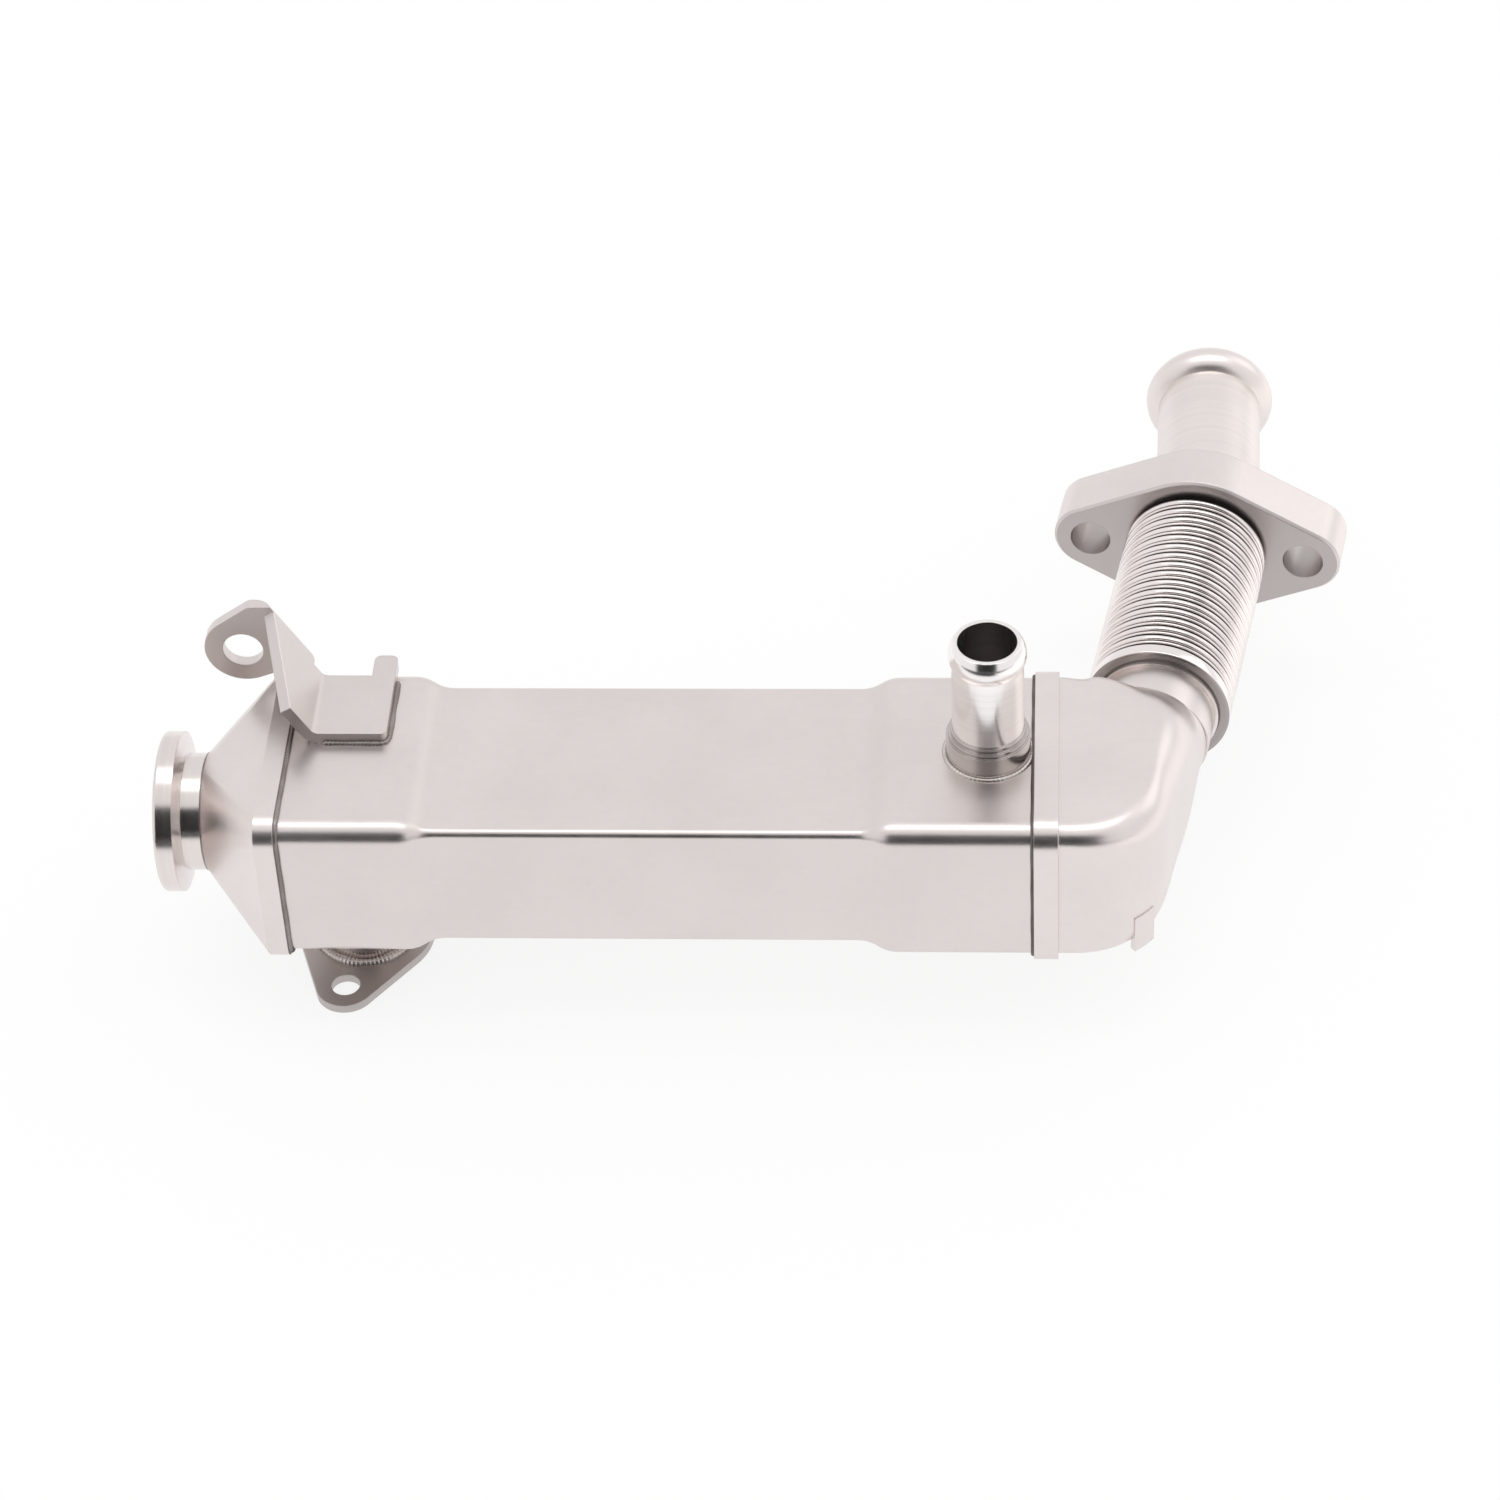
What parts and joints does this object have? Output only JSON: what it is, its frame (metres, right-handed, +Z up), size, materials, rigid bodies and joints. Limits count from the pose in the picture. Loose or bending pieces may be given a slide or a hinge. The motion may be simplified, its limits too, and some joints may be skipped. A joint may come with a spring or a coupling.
{
  "type": "exhaust gas recirculation cooler",
  "caption": "Rectangular waisted stainless cooler for exhaust gas, with a clamp flange and cone, a side elbow with bellows, bolt flange and spigot, hose nipple, lower flange and bracket.",
  "frame": {"origin": "middle of the clamp flange's face, on the core's long axis", "axes": "+X runs along the core towards the elbow, +Z is up along the hose nipple, +Y is the side the bellows runs to"},
  "size_m": [0.2708, 0.1844, 0.0903],
  "materials": {
    "shell_steel": "satin rolled stainless sheet with a fine grain",
    "pressed_steel": "satin deep drawn stainless sheet",
    "turned_steel": "bright turned stainless",
    "bright_steel": "polished stainless tube",
    "bellows_steel": "bright formed thin stainless",
    "flange_steel": "machined satin stainless plate",
    "plate_steel": "satin pressed steel plate",
    "inner_steel": "plain stainless sheet, brazed"
  },
  "bodies": {
    "root": {"core_shell": "shell_steel", "clamp_flange": "turned_steel", "outlet_cone": "pressed_steel", "inlet_elbow": "pressed_steel", "elbow_tab": "pressed_steel", "bellows_collar": "turned_steel", "bellows": "bellows_steel", "gas_flange": "flange_steel", "spigot": "turned_steel", "coolant_nipple": "bright_steel", "nipple_collar": "turned_steel", "coolant_outlet_tube": "bright_steel", "coolant_flange": "plate_steel", "mounting_bracket": "plate_steel", "header_outlet_side": "inner_steel", "header_inlet_side": "inner_steel", "gas_tube_1": "inner_steel", "fin_1": "inner_steel", "gas_tube_2": "inner_steel", "fin_2": "inner_steel", "gas_tube_3": "inner_steel", "fin_3": "inner_steel", "gas_tube_4": "inner_steel", "fin_4": "inner_steel", "gas_tube_5": "inner_steel", "fin_5": "inner_steel", "baffle_1": "inner_steel", "baffle_2": "inner_steel"}
  },
  "joints": []
}
